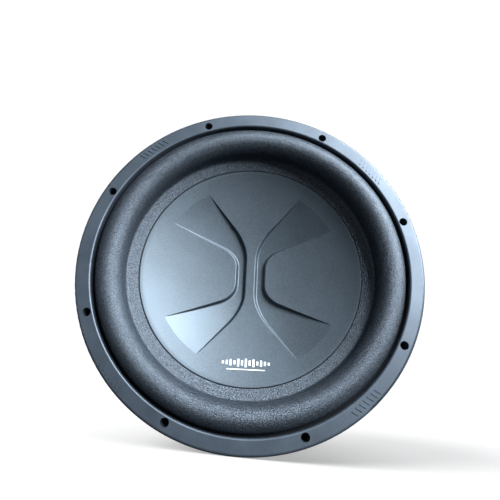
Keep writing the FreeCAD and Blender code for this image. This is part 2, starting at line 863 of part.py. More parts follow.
def make_motor():
    """Top plate, two ferrite rings, yoke with its vented pole, shorting ring, boot and screen."""
    plate_rear = "-plate_depth - top_plate_wall"
    top = ring_body("top_plate", "gap_radius", "top_plate_radius", plate_rear, "-plate_depth")
    holes = body_sketch(top, "tapped_hole_outline", "XY_Plane", "-plate_depth")
    circle(holes, "screw_circle", "0", "screw_hole")
    hole = pocket(top, "tapped_hole_cut", holes, "screw_reach")
    polar(top, "tapped_holes", [hole], "screw_count")
    piece(top, "top_plate")

    levels = [plate_rear + " - magnet_wall * %d" % count for count in range(3)]
    for name, high, low in zip(("magnet_front", "magnet_rear"), levels, levels[1:]):
        piece(ring_body(name, "magnet_bore", "magnet_radius", low, high), name)

    seat = levels[2]
    rear = seat + " - yoke_wall"
    yoke = new_body("yoke")
    turned(yoke, "yoke_section", [
        ("vent_radius + vent_flare", rear),
        ("yoke_radius", rear),
        ("yoke_radius", seat),
        ("pole_radius", seat),
        ("pole_radius", "-pole_front"),
        ("vent_radius", "-pole_front"),
        ("vent_radius", rear + " + vent_flare"),
    ])
    piece(yoke, "yoke")

    short_top = seat + " + short_ring_wall"
    short_ring = ring_body("short_ring", "pole_radius", "short_ring_radius", seat, short_top)
    piece(short_ring, "shorting_ring")

    boot = new_body("magnet_boot")
    skin = "(boot_radius - boot_bore)"
    turned(boot, "boot_section", [
        ("boot_lip", rear + " - " + skin),
        ("boot_radius", rear + " - " + skin),
        ("boot_radius", "-boot_front"),
        ("boot_bore", "-boot_front"),
        ("boot_bore", rear),
        ("boot_lip", rear),
    ])
    rounded(boot, "boot_rounds", "boot_round", [("boot_radius", rear + " - " + skin)])
    piece(boot, "magnet_boot")
    make_vent_screen(rear + " + vent_flare + screen_wall")


def make_vent_screen(front):
    """Perforated disc across the vent, with its holes on three rings of six."""
    body = new_body("vent_screen")
    disc = circle(body_sketch(body, "screen_outline", "XY_Plane", front), "0", "0", "vent_radius")
    pad = body.newObject("PartDesign::Pad", "screen_disc")
    pad.Profile = disc
    bind(pad, Length="screen_wall")
    body.Tip = pad
    doc.recompute()
    punches = body_sketch(body, "screen_hole_outline", "XY_Plane", front + " + screen_wall")
    middle = "screen_pitch * sqrt(3) / 2"
    for x, y in (("screen_pitch", "0"), ("screen_pitch * 2", "0"), (middle + " * 1.7321", middle)):
        circle(punches, x, y, "screen_hole")
    punch = pocket(body, "screen_punch", punches)
    polar(body, "screen_punches", [punch], "6")
    piece(body, "pole_vent_screen")


def make_motor_screws():
    """Socket-head screws that clamp the basket to the top plate."""
    screws = []
    for index in range(int(size("screw_count"))):
        name = "screw_%d" % index
        seat = "-plate_depth + steel_wall"
        shank = rod(name + "_shank", "screw_radius", "-plate_depth - screw_reach + 0.5", seat)
        head = rod(name + "_head", "screw_head", seat, seat + " + screw_head_rise")
        socket = rod(name + "_socket", "screw_socket", seat + " + screw_head_rise / 3",
                     seat + " + screw_head_rise")
        screw = cut(name, joined(name + "_solid", [shank, head]), [socket])
        screw.Placement = around(index * 360 / size("screw_count"), size("screw_circle"))
        screws.append(screw)
    piece(grouped("screws", screws), "motor_screws")


# ---- push terminals ----------------------------------------------------------------------------

SIDES = (("right", 0), ("left", 180))


def mirrored(side, value):
    """An expression on the +y or the -y side of a terminal."""
    return "%s * (%s)" % (side, value)


def span(side, low, high):
    """Two y expressions in rising order, for one side of a terminal."""
    return (mirrored("1", low), mirrored("1", high)) if side == "1" else (
        mirrored("-1", high), mirrored("-1", low))


def make_terminal_base(name, turn):
    """Moulded block with two button sockets, contact slots, wire holes and two riveted ears."""
    ledge = "-ledge_depth - steel_wall"
    core = block(name + "_core", ("base_inner", "-base_half", "-base_rear"),
                 ("base_outer", "base_half", ledge))
    ears = block(name + "_ears", ("ear_inner", "-ear_half", ledge + " - ear_wall"),
                 ("base_outer", "ear_half", ledge))
    tools = []
    room = "(button_half + button_gap)"
    for side in ("1", "-1"):
        mark = name + ("_a" if side == "1" else "_b")
        low, high = span(side, "button_pitch - " + room, "button_pitch + " + room)
        tools.append(block(mark + "_socket", ("socket_floor", low, "-socket_level - " + room),
                           ("base_outer + 1", high, "-socket_level + " + room)))
        tools.append(rod(mark + "_wire", "wire_hole", "-base_rear - 1", "-socket_level",
                         "wire_reach", mirrored(side, "button_pitch")))
        tools.append(rod(mark + "_rivet", "rivet_radius + contact_slack", "-base_rear", "0",
                         "rivet_reach", mirrored(side, "rivet_side")))
        low, high = span(side, "stem_low - contact_slack", "stem_high + contact_slack")
        foot_rear = "-socket_level - %s - contact_wall - contact_slack" % room
        tools.append(block(mark + "_stem", ("stem_reach - contact_slack", low, foot_rear),
                           ("stem_reach + contact_wall + contact_slack", high, "0")))
        low, high = span(side, "foot_low - contact_slack", "stem_high + contact_slack")
        tools.append(block(mark + "_foot", ("foot_inner - contact_slack", low, foot_rear),
                           ("foot_outer + contact_slack", high, "-socket_level - " + room)))
    base = cut(name + "_solid", joined(name + "_block", [core, ears]), tools)
    piece(base, name, FACING.multiply(around(turn)))


def make_terminal_contacts(name, turn):
    """Two tinned strips: a solder tag through the ledge and a pierced foot under the button."""
    strips = []
    room = "(button_half + button_gap)"
    foot_top = "-socket_level - " + room
    for side in ("1", "-1"):
        mark = name + ("_a" if side == "1" else "_b")
        far = "stem_reach + contact_wall"
        low, high = span(side, "tag_low", "stem_high")
        tag = block(mark + "_tag", ("stem_reach", low, "-ledge_depth - steel_wall + contact_slack"),
                    (far, high, "-tag_front"))
        low, high = span(side, "stem_low", "stem_high")
        stem = block(mark + "_stem", ("stem_reach", low, foot_top + " - contact_wall"),
                     (far, high, "-ledge_depth"))
        low, high = span(side, "foot_low", "stem_high")
        foot = block(mark + "_foot", ("foot_inner", low, foot_top + " - contact_wall"),
                     ("foot_outer", high, foot_top))
        hole = rod(mark + "_hole", "wire_hole + contact_slack * 2", "-base_rear", "0",
                   "wire_reach", mirrored(side, "button_pitch"))
        strips.append(cut(mark, joined(mark + "_strip", [tag, stem, foot]), [hole]))
    piece(grouped(name, strips), name, FACING.multiply(around(turn)))


def make_terminal_rivets(name, turn):
    """Two rivets that hold a terminal under the spider ledge."""
    rivets = []
    rear = "-ledge_depth - steel_wall - ear_wall"
    for side in ("1", "-1"):
        mark = name + ("_a" if side == "1" else "_b")
        place = ("rivet_reach", mirrored(side, "rivet_side"))
        rivets.append(joined(mark, [
            rod(mark + "_shank", "rivet_radius", rear, "-ledge_depth", *place),
            rod(mark + "_head", "rivet_head", "-ledge_depth", "-ledge_depth + rivet_head_rise", *place),
            rod(mark + "_tail", "rivet_head", rear + " - rivet_head_rise", rear, *place),
        ]))
    piece(grouped(name, rivets), name, FACING.multiply(around(turn)))


def make_button(name, turn, side):
    """Push button with a cross hole that meets the wire hole when it is pressed."""
    body = new_body(name)
    face = body_sketch(body, name + "_outline", "XY_Plane", "-socket_level - button_half")
    low, high = span(side, "button_pitch - button_half", "button_pitch + button_half")
    outline(face, [("button_rear", low), ("button_front", low),
                   ("button_front", high), ("button_rear", high)])
    pad = body.newObject("PartDesign::Pad", name + "_block")
    pad.Profile = face
    bind(pad, Length="button_half * 2")
    body.Tip = pad
    doc.recompute()
    front = number("button_front")
    edges = ["Edge%d" % index for index, edge in enumerate(pad.Shape.Edges, 1)
             if all(abs(vertex.X - front) < 1e-3 for vertex in edge.Vertexes)]
    fillet = body.newObject("PartDesign::Fillet", name + "_round")
    fillet.Base = (pad, edges)
    bind(fillet, Radius="button_round")
    body.Tip = fillet
    doc.recompute()
    drill = body_sketch(body, name + "_hole", "XY_Plane", "-socket_level + button_half - 2")
    circle(drill, "wire_reach + button_travel", mirrored(side, "button_pitch"), "wire_hole")
    pocket(body, name + "_drill", drill)
    piece(body, name, FACING.multiply(around(turn)))


def make_spring(name, turn, side):
    """Return spring: flat coils joined by posts on alternate sides, standing on the socket floor."""
    coils = int(size("spring_coils"))
    pitch = "((button_rear - socket_floor - 2 * spring_wire - contact_slack * 2) / (spring_coils - 1))"
    items = []
    for index in range(coils):
        level = "%s * %d" % (pitch, index)
        coil = doc.addObject("Part::Torus", "%s_coil_%d" % (name, index))
        bind(coil, Radius1="spring_radius", Radius2="spring_wire", Placement__Base__z=level)
        items.append(coil)
        if index:
            reach = "spring_radius" if index % 2 else "-spring_radius"
            before = "%s * %d" % (pitch, index - 1)
            items.append(rod("%s_post_%d" % (name, index), "spring_wire * 0.8", before, level, reach))
    across = Rotation(Vector(0, 1, 0), 90)
    place = Vector(number("socket_floor + spring_wire + contact_slack"),
                   number(mirrored(side, "button_pitch")), number("-socket_level"))
    spring = joined(name + "_solid", items)
    piece(spring, name, FACING.multiply(around(turn)).multiply(Placement(place, across)))


def make_terminals():
    """Both push terminals, the left one turned half a turn from the right one."""
    for side_name, turn in SIDES:
        make_terminal_base("terminal_base_" + side_name, turn)
        make_terminal_contacts("terminal_contacts_" + side_name, turn)
        make_terminal_rivets("terminal_rivets_" + side_name, turn)
        for colour, side in (("red", "1"), ("black", "-1")):
            make_button("button_%s_%s" % (colour, side_name), turn, side)
            make_spring("button_spring_%s_%s" % (colour, side_name), turn, side)


# ---- tinsel leads ------------------------------------------------------------------------------

# The middle of a lead's route: shares of the way from tag to solder tab, and the rise above it.
LEAD_HUMP = [(0.4, 6.0), (0.62, 6.6)]


def make_lead(name, turn, side):
    """Flexible lead from a terminal's solder tag to a tab on the former."""
    radius = size("lead_radius")
    level = -size("lead_level")
    tag = Vector(size("stem_reach"), side * (size("tag_low") + size("lead_radius") * 2.5), level)
    angle = math.radians(side * size("tab_angle"))
    reach = size("former_bore") + size("former_wall") + size("coil_gap") + size("tab_wall")
    outward = Vector(math.cos(angle), math.sin(angle), 0)
    tab = outward * reach + Vector(0, 0, level)
    straight = size("lead_straight")
    hump = [tag + (tab - tag) * share + Vector(0, 0, rise) for share, rise in LEAD_HUMP]
    points = [tag, tag - Vector(straight, 0, 0)] + hump + [tab + outward * straight, tab]
    lead = doc.addObject("Part::Feature", name + "_tube")
    lead.Shape, length, smallest = tube(points, radius)
    expected = math.pi * radius ** 2 * length
    print("%s length %.1f mm, smallest radius %.1f mm, volume ratio %.3f"
          % (name, length, smallest, lead.Shape.Volume / expected))
    piece(lead, name, FACING.multiply(around(turn)))


def make_leads():
    """Four leads, one from each terminal contact."""
    for side_name, turn in SIDES:
        make_lead("lead_red_" + side_name, turn, 1)
        make_lead("lead_black_" + side_name, turn, -1)


# ---- document ----------------------------------------------------------------------------------


def check_and_export():
    """Refuses a failed feature or an invalid shape, then writes one STEP file per sub-part."""
    doc.recompute()
    failed = [item.Name for item in doc.Objects if {"Invalid", "Error"} & set(item.State)]
    if failed:
        raise RuntimeError("failed features: " + ", ".join(failed))
    os.makedirs("parts", exist_ok=True)
    for item in pieces:
        shape = item.Shape
        if shape.isNull() or not shape.isValid():
            raise RuntimeError(item.Label + " has no valid shape")
        if not shape.Solids:
            raise RuntimeError(item.Label + " has no solid")
        shape.exportStep("parts/%s.step" % item.Label)
        print("%-26s %d solids %12.1f mm3" % (item.Label, len(shape.Solids), shape.Volume))


make_basket()
make_trim_ring()
make_surround()
make_dish_cone()
make_cone_body()
make_voice_coil()
make_spider()
make_motor()
make_motor_screws()
make_terminals()
make_leads()
check_and_export()
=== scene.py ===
"""Looks of the car subwoofer driver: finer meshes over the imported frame, materials, light, camera.

Lengths in the drawing helpers are millimetres in the driver's own directions, the ones the CAD
model is drawn in: +z points out of the front, +y points up, and z = 0 is the baffle plane.
"""
import math

import bmesh
import bpy
import numpy as np
from mathutils import Matrix, Vector
from mathutils.geometry import delaunay_2d_cdt


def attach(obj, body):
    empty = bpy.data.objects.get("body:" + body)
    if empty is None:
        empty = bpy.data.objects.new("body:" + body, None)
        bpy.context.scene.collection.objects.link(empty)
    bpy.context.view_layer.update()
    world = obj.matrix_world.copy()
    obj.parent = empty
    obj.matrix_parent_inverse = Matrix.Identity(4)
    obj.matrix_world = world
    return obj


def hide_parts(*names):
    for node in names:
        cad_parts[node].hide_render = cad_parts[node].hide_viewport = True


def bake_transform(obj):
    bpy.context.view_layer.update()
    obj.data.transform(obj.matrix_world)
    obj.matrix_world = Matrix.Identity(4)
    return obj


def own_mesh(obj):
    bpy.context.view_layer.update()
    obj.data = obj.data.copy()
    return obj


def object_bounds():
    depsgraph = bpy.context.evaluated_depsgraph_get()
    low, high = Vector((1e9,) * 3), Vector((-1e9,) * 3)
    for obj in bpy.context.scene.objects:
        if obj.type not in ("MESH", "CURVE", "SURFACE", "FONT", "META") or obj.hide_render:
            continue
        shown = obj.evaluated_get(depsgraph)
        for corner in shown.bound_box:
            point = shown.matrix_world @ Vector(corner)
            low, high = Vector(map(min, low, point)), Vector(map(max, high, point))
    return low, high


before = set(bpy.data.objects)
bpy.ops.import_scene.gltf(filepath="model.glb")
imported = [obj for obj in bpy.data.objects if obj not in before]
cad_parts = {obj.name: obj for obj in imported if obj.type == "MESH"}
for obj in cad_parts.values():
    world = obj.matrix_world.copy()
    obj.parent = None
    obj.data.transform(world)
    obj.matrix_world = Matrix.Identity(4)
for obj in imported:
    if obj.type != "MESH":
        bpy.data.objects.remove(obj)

CAD_BOX = [list(corner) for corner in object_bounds()]
FRAME, CONE = "driver_frame", "cone_assembly"
MM = 0.001


# ---- shapes ------------------------------------------------------------------------------------


def to_row(points):
    """Rows of (x, y, z) in the driver's drawing as rows in the row frame."""
    points = np.asarray(points, float)
    return np.column_stack([points[:, 0], -points[:, 2], points[:, 1]]) * MM


def mesh_object(name, points, faces, sharp=35.0):
    """A smooth-shaded object whose edges stay crisp above the given angle."""
    mesh = bpy.data.meshes.new(name)
    mesh.from_pydata(to_row(points).tolist(), [], faces)
    work = bmesh.new()
    work.from_mesh(mesh)
    bmesh.ops.recalc_face_normals(work, faces=work.faces)
    work.to_mesh(mesh)
    work.free()
    mesh.shade_smooth()
    mesh.set_sharp_from_angle(angle=math.radians(sharp))
    item = bpy.data.objects.new(name, mesh)
    bpy.context.scene.collection.objects.link(item)
    return item


def fillet(corners, closed=False, fine=7.0):
    """Corners (x, y, radius) as 2-D points, with each corner rounded into an arc."""
    points = []
    count = len(corners)
    for index, (x, y, radius) in enumerate(corners):
        here = Vector((x, y))
        end = not closed and index in (0, count - 1)
        back = Vector(corners[index - 1][:2]) - here
        ahead = Vector(corners[(index + 1) % count][:2]) - here
        if end or radius <= 0:
            points.append(here)
            continue
        a, b = back.normalized(), ahead.normalized()
        turn = math.pi - a.angle(b)
        reach = min(radius * math.tan(turn / 2), 0.49 * back.length, 0.49 * ahead.length)
        arc = reach / math.tan(turn / 2)
        centre = here + (a + b).normalized() * (arc / math.cos(turn / 2))
        start = here + a * reach - centre
        stop = here + b * reach - centre
        side = math.copysign(1.0, start.x * stop.y - start.y * stop.x)
        steps = max(2, math.ceil(fine * turn))
        for step in range(steps + 1):
            angle = side * turn * step / steps
            points.append(centre + Matrix.Rotation(angle, 2) @ start)
    return [(point.x, point.y) for point in points]


def spread(points, longest):
    """The same line with no step longer than the given length."""
    out = []
    for (x0, y0), (x1, y1) in zip(points, points[1:]):
        steps = max(1, math.ceil(math.hypot(x1 - x0, y1 - y0) / longest))
        out += [(x0 + (x1 - x0) * k / steps, y0 + (y1 - y0) * k / steps) for k in range(steps)]
    return out + [points[-1]]


def beside(points, offset):
    """A 2-D line moved sideways, to the right of its direction."""
    line = np.array(points, float)
    along = np.gradient(line, axis=0)
    along /= np.linalg.norm(along, axis=1)[:, None]
    return line + np.column_stack([along[:, 1], -along[:, 0]]) * offset


def lathe(name, loop, segments=360, sharp=35.0):
    """A closed loop of (radius, z) turned about the driver's axis."""
    loop = np.array(loop, float)
    count = len(loop)
    angles = np.linspace(0, 2 * math.pi, segments, endpoint=False)
    x = np.outer(np.cos(angles), loop[:, 0]).ravel()
    y = np.outer(np.sin(angles), loop[:, 0]).ravel()
    z = np.tile(loop[:, 1], segments)
    ring = np.arange(segments)[:, None] * count
    following = (ring + count) % (segments * count)
    place = np.arange(count)[None, :]
    after = (place + 1) % count
    faces = np.stack([ring + place, ring + after, following + after, following + place], axis=-1)
    return mesh_object(name, np.column_stack([x, y, z]), faces.reshape(-1, 4).tolist(), sharp)


def swept(name, path, radius, sides=8):
    """A round tube along a line of 3-D points in the driver's drawing."""
    path = [Vector(point) for point in path]
    points, faces = [], []
    normal = None
    for index, here in enumerate(path):
        ahead = path[min(index + 1, len(path) - 1)]
        back = path[max(index - 1, 0)]
        along = (ahead - back).normalized()
        if normal is None:
            normal = along.orthogonal()
        normal = (normal - along * normal.dot(along)).normalized()
        across = along.cross(normal)
        for side in range(sides):
            angle = 2 * math.pi * side / sides
            points.append(here + (normal * math.cos(angle) + across * math.sin(angle)) * radius)
    for index in range(len(path) - 1):
        low, high = index * sides, (index + 1) * sides
        for side in range(sides):
            after = (side + 1) % sides
            faces.append([low + side, low + after, high + after, high + side])
    faces.append(list(range(sides)))
    faces.append([(len(path) - 1) * sides + side for side in range(sides)])
    return mesh_object(name, points, faces, 60)


def joined(name, items):
    """Several objects made into one."""
    work = bmesh.new()
    for item in items:
        work.from_mesh(item.data)
    mesh = bpy.data.meshes.new(name)
    work.to_mesh(mesh)
    work.free()
    for item in items:
        bpy.data.objects.remove(item)
    result = bpy.data.objects.new(name, mesh)
    bpy.context.scene.collection.objects.link(result)
    return result


def radial_blend(item):
    """Bakes the piece's placement into its mesh."""
    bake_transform(item)


# ---- materials ---------------------------------------------------------------------------------


def tone(red, green, blue):
    """A display colour, 0 to 255, as linear light with alpha."""
    linear = []
    for value in (red, green, blue):
        value /= 255
        linear.append(value / 12.92 if value <= 0.04045 else ((value + 0.055) / 1.055) ** 2.4)
    return linear + [1.0]


class Finish:
    """One procedural material around a Principled shader."""

    def __init__(self, name, **shader):
        self.material = bpy.data.materials.new(name)
        self.material.use_nodes = True
        self.tree = self.material.node_tree
        self.shader = self.tree.nodes["Principled BSDF"]
        self.place = self.node("ShaderNodeTexCoord").outputs["Object"]
        for key, value in shader.items():
            self.set(key.replace("_", " "), value)

    def set(self, name, value):
        socket = self.shader.inputs[name]
        if isinstance(value, bpy.types.NodeSocket):
            self.tree.links.new(value, socket)
        else:
            socket.default_value = value

    def node(self, kind, inputs=(), **settings):
        node = self.tree.nodes.new(kind)
        for key, value in settings.items():
            setattr(node, key, value)
        for key, value in dict(inputs).items():
            if isinstance(value, bpy.types.NodeSocket):
                self.tree.links.new(value, node.inputs[key])
            else:
                node.inputs[key].default_value = value
        return node

    def noise(self, scale, detail=2.0, roughness=0.5, vector=None):
        place = self.place if vector is None else vector
        inputs = {"Vector": place, "Scale": scale, "Detail": detail, "Roughness": roughness}
        return self.node("ShaderNodeTexNoise", inputs).outputs["Fac"]

    def cells(self, scale, feature="F1", vector=None):
        place = self.place if vector is None else vector
        node = self.node("ShaderNodeTexVoronoi", {"Vector": place, "Scale": scale}, feature=feature)
        return node.outputs["Distance"]

    def stretch(self, x, y, z):
        inputs = {0: self.place, 1: (x, y, z)}
        return self.node("ShaderNodeVectorMath", inputs, operation="MULTIPLY").outputs[0]

    def maths(self, operation, a, b=0.0, c=0.0):
        return self.node("ShaderNodeMath", {0: a, 1: b, 2: c}, operation=operation).outputs[0]

    def remap(self, value, low, high, new_low=0.0, new_high=1.0):
        inputs = {"Value": value, "From Min": low, "From Max": high, "To Min": new_low,
                  "To Max": new_high}
        return self.node("ShaderNodeMapRange", inputs).outputs["Result"]

    def mix(self, share, a, b):
        node = self.node("ShaderNodeMix", data_type="RGBA")
        for index, value in ((0, share), (6, a), (7, b)):
            if isinstance(value, bpy.types.NodeSocket):
                self.tree.links.new(value, node.inputs[index])
            else:
                node.inputs[index].default_value = value
        return node.outputs[2]

    def bump(self, height, distance, strength=1.0, under=None):
        inputs = {"Height": height, "Distance": distance * MM, "Strength": strength}
        if under is not None:
            inputs["Normal"] = under
        return self.node("ShaderNodeBump", inputs).outputs["Normal"]

    def radius(self):
        """Distance from the driver's axis, in metres."""
        parts = self.node("ShaderNodeSeparateXYZ", {0: self.place})
        x, z = parts.outputs["X"], parts.outputs["Z"]
        return self.maths("SQRT", self.maths("ADD", self.maths("MULTIPLY", x, x),
                                             self.maths("MULTIPLY", z, z)))

    def worn(self, colour, edge_colour, amount=0.5):
        """The colour with rubbed, lighter convex edges."""
        sharpness = self.node("ShaderNodeNewGeometry").outputs["Pointiness"]
        edge = self.remap(sharpness, 0.52, 0.62)
        broken = self.remap(self.noise(420, 3), 0.42, 0.62)
        share = self.maths("MULTIPLY", self.maths("MULTIPLY", edge, broken), amount)
        return self.mix(share, colour, edge_colour)


def moulded(name, base, light, roughness, grain=900.0, depth=0.05, **shader):
    """Fine-grained moulded plastic with faint mottling."""
    finish = Finish(name, **shader)
    mottle = finish.remap(finish.noise(60, 4, 0.6), 0.35, 0.65)
    colour = finish.mix(mottle, base, light)
    finish.set("Base Color", colour)
    fine = finish.noise(grain, 3, 0.6)
    finish.set("Roughness", finish.remap(fine, 0.3, 0.7, roughness - 0.05, roughness + 0.06))
    finish.set("Normal", finish.bump(fine, depth))
    return finish.material


def turned_metal(name, base, light, roughness, **shader):
    """Lathe-turned metal with fine concentric tool marks and faint stains."""
    finish = Finish(name, Metallic=1.0, **shader)
    stain = finish.remap(finish.noise(45, 4, 0.65), 0.35, 0.7)
    finish.set("Base Color", finish.mix(stain, base, light))
    depth = finish.node("ShaderNodeSeparateXYZ", {0: finish.place}).outputs["Y"]
    across = finish.node("ShaderNodeCombineXYZ", {0: finish.radius(), 1: depth})
    marks = finish.noise(5200, 2, 0.5, across.outputs[0])
    finish.set("Roughness", finish.remap(marks, 0.3, 0.7, roughness - 0.07, roughness + 0.08))
    finish.set("Normal", finish.bump(marks, 0.02))
    return finish.material


def ring_plastic():
    finish = Finish("ring_plastic_finish", Metallic=0.55, Specular_IOR_Level=0.6)
    mottle = finish.remap(finish.noise(38, 5, 0.62), 0.34, 0.68)
    finish.set("Base Color", finish.mix(mottle, tone(64, 73, 84), tone(76, 86, 97)))
    fine = finish.noise(1500, 2, 0.55)
    finish.set("Roughness", finish.remap(fine, 0.3, 0.7, 0.40, 0.50))
    finish.set("Normal", finish.bump(fine, 0.022))
    return finish.material


def surround_foam():
    finish = Finish("surround_foam_finish", Metallic=0.5, Specular_IOR_Level=0.6)
    finish.set("Specular Tint", tone(215, 230, 245))
    bright = finish.remap(finish.noise(1800, 2, 0.85), 0.43, 0.60)
    colour = finish.mix(bright, tone(18, 21, 26), tone(94, 103, 114))
    grains = finish.cells(1300)
    pore = finish.remap(grains, 0.55, 0.85, 0.0, 0.8)
    colour = finish.mix(pore, colour, tone(14, 15, 18))
    reach = finish.radius()
    # Painted shade: a near-black, rough band at the foam's outer edge stands in for the shadow in
    # the gap under the trim ring, and a thin one at its inner edge for the shade line along the
    # dish's rim.
    painted_gap_shade = finish.maths("MAXIMUM", finish.remap(reach, 0.1403, 0.1412),
                        finish.remap(reach, 0.10705, 0.1068))
    finish.set("Base Color", finish.mix(painted_gap_shade, colour, tone(6, 6, 8)))
    rough = finish.remap(finish.noise(1500, 2), 0.38, 0.62, 0.25, 0.42)
    finish.set("Roughness", finish.maths("MAXIMUM", rough, finish.remap(painted_gap_shade, 0.0, 1.0, 0.0, 0.85)))
    under = finish.bump(finish.noise(1700, 3, 0.8), 0.36)
    finish.set("Normal", finish.bump(grains, 0.13, 1.0, under))
    return finish.material


def dish_plastic():
    finish = Finish("dish_plastic_finish", Metallic=0.6, Specular_IOR_Level=0.6)
    fine = finish.noise(1300, 2, 0.65)
    speck = finish.remap(fine, 0.36, 0.66)
    wide = finish.remap(finish.noise(30, 3), 0.35, 0.65)
    base = finish.mix(wide, tone(60, 69, 77), tone(66, 76, 85))
    finish.set("Base Color", finish.mix(finish.maths("MULTIPLY", speck, 0.5), base,
                                        tone(92, 104, 115)))
    finish.set("Roughness", finish.remap(fine, 0.3, 0.7, 0.36, 0.50))
    finish.set("Normal", finish.bump(fine, 0.05))
    return finish.material


def print_ink():
    finish = Finish("print_ink_finish", Roughness=0.45)
    thin = finish.remap(finish.noise(1400, 2), 0.3, 0.55)
    finish.set("Base Color", finish.mix(thin, tone(205, 214, 222), tone(244, 247, 250)))
    finish.set("Normal", finish.bump(finish.noise(1800, 2), 0.02))
    return finish.material


def gasket_tape():
    finish = Finish("gasket_tape_finish", Roughness=0.88, Specular_IOR_Level=0.2)
    grains = finish.cells(1300)
    share = finish.remap(grains, 0.2, 0.8)
    finish.set("Base Color", finish.mix(share, tone(26, 26, 27), tone(12, 12, 13)))
    finish.set("Normal", finish.bump(grains, 0.1))
    return finish.material


def cone_paper():
    finish = Finish("cone_paper_finish", Roughness=0.82, Specular_IOR_Level=0.3)
    fibres = finish.noise(520, 6, 0.75, finish.stretch(1.0, 2.4, 1.0))
    clump = finish.noise(90, 4, 0.6)
    share = finish.remap(finish.maths("ADD", fibres, clump), 0.8, 1.2)
    finish.set("Base Color", finish.mix(share, tone(26, 26, 27), tone(58, 57, 56)))
    finish.set("Normal", finish.bump(fibres, 0.25))
    return finish.material


def spider_cloth():
    finish = Finish("spider_cloth_finish", Roughness=0.78, Sheen_Weight=0.35, Sheen_Roughness=0.5,
                    Specular_IOR_Level=0.3)
    parts = finish.node("ShaderNodeSeparateXYZ", {0: finish.place})
    waves = []
    for axis, shift in (("X", 0.0), ("Z", 1.2)):
        turn = finish.maths("MULTIPLY_ADD", parts.outputs[axis], 6200.0, shift)
        waves.append(finish.maths("SINE", turn))
    weave = finish.maths("MULTIPLY", *waves)
    height = finish.remap(weave, -1.0, 1.0)
    resin = finish.remap(finish.noise(120, 4), 0.35, 0.7)
    yarn = finish.mix(resin, tone(150, 104, 44), tone(188, 142, 74))
    finish.set("Base Color", finish.mix(finish.maths("MULTIPLY", height, 0.55), yarn,
                                        tone(98, 62, 24)))
    finish.set("Normal", finish.bump(height, 0.12))
    return finish.material


def black_steel():
    finish = Finish("black_steel_finish", Specular_IOR_Level=0.5, Coat_Weight=0.12,
                    Coat_Roughness=0.3)
    wide = finish.remap(finish.noise(25, 4), 0.35, 0.65)
    base = finish.mix(wide, tone(30, 31, 34), tone(42, 43, 47))
    finish.set("Base Color", finish.worn(base, tone(80, 82, 86), 0.12))
    peel = finish.noise(700, 2, 0.5)
    finish.set("Roughness", finish.remap(peel, 0.3, 0.7, 0.42, 0.54))
    finish.set("Normal", finish.bump(peel, 0.02))
    return finish.material


def ferrite():
    finish = Finish("ferrite_finish", Roughness=0.6, Specular_IOR_Level=0.45)
    grain = finish.noise(1600, 4, 0.7)
    wide = finish.noise(70, 5, 0.65)
    share = finish.remap(finish.maths("ADD", grain, wide), 0.75, 1.25)
    finish.set("Base Color", finish.worn(finish.mix(share, tone(38, 39, 41), tone(70, 71, 73)),
                                         tone(112, 112, 112), 0.6))
    finish.set("Roughness", finish.remap(wide, 0.3, 0.7, 0.42, 0.66))
    finish.set("Normal", finish.bump(grain, 0.06))
    return finish.material


def boot_rubber():
    finish = Finish("boot_rubber_finish", Specular_IOR_Level=0.4, Sheen_Weight=0.15,
                    Sheen_Roughness=0.4)
    wide = finish.remap(finish.noise(40, 4, 0.6), 0.35, 0.68)
    dust = finish.remap(finish.noise(9, 5, 0.7), 0.5, 0.8, 0.0, 0.35)
    base = finish.mix(wide, tone(22, 22, 24), tone(34, 35, 37))
    finish.set("Base Color", finish.mix(dust, base, tone(74, 74, 73)))
    fine = finish.noise(1100, 3, 0.6)
    finish.set("Roughness", finish.remap(fine, 0.3, 0.7, 0.55, 0.74))
    finish.set("Normal", finish.bump(fine, 0.05))
    return finish.material


def wound_copper():
    finish = Finish("copper_wire_finish", Metallic=1.0)
    depth = finish.node("ShaderNodeSeparateXYZ", {0: finish.place}).outputs["Y"]
    turn = finish.maths("SINE", finish.maths("MULTIPLY", depth, 9000.0))
    height = finish.remap(turn, -1.0, 1.0)
    varnish = finish.remap(finish.noise(160, 3), 0.3, 0.7)
    wire = finish.mix(varnish, tone(170, 78, 36), tone(206, 112, 58))
    # Painted shade: the colour darkens to a deep brown in the grooves between the wire's turns.
    finish.set("Base Color", finish.mix(height, tone(92, 38, 18), wire))
    finish.set("Roughness", finish.remap(varnish, 0.0, 1.0, 0.22, 0.36))
    finish.set("Normal", finish.bump(height, 0.12))
    return finish.material


def bright_metal(name, base, light, roughness, tarnish):
    """Small plain metal part with tarnish and hairline scratches."""
    finish = Finish(name, Metallic=1.0)
    spots = finish.remap(finish.noise(240, 4, 0.65), 0.42, 0.7)
    colour = finish.mix(spots, base, light)
    finish.set("Base Color", finish.mix(finish.remap(finish.noise(700, 3), 0.55, 0.8), colour,
                                        tarnish))
    hair = finish.noise(900, 3, 0.6, finish.stretch(1.0, 8.0, 1.0))
    finish.set("Roughness", finish.remap(hair, 0.3, 0.7, roughness - 0.06, roughness + 0.1))
    finish.set("Normal", finish.bump(hair, 0.015))
    return finish.material


def screen_metal():
    finish = Finish("screen_metal_finish", Metallic=0.9)
    spots = finish.remap(finish.noise(300, 4), 0.4, 0.7)
    finish.set("Base Color", finish.mix(spots, tone(52, 53, 56), tone(82, 84, 88)))
    fine = finish.noise(1500, 3)
    finish.set("Roughness", finish.remap(fine, 0.3, 0.7, 0.34, 0.5))
    finish.set("Normal", finish.bump(fine, 0.02))
    return finish.material


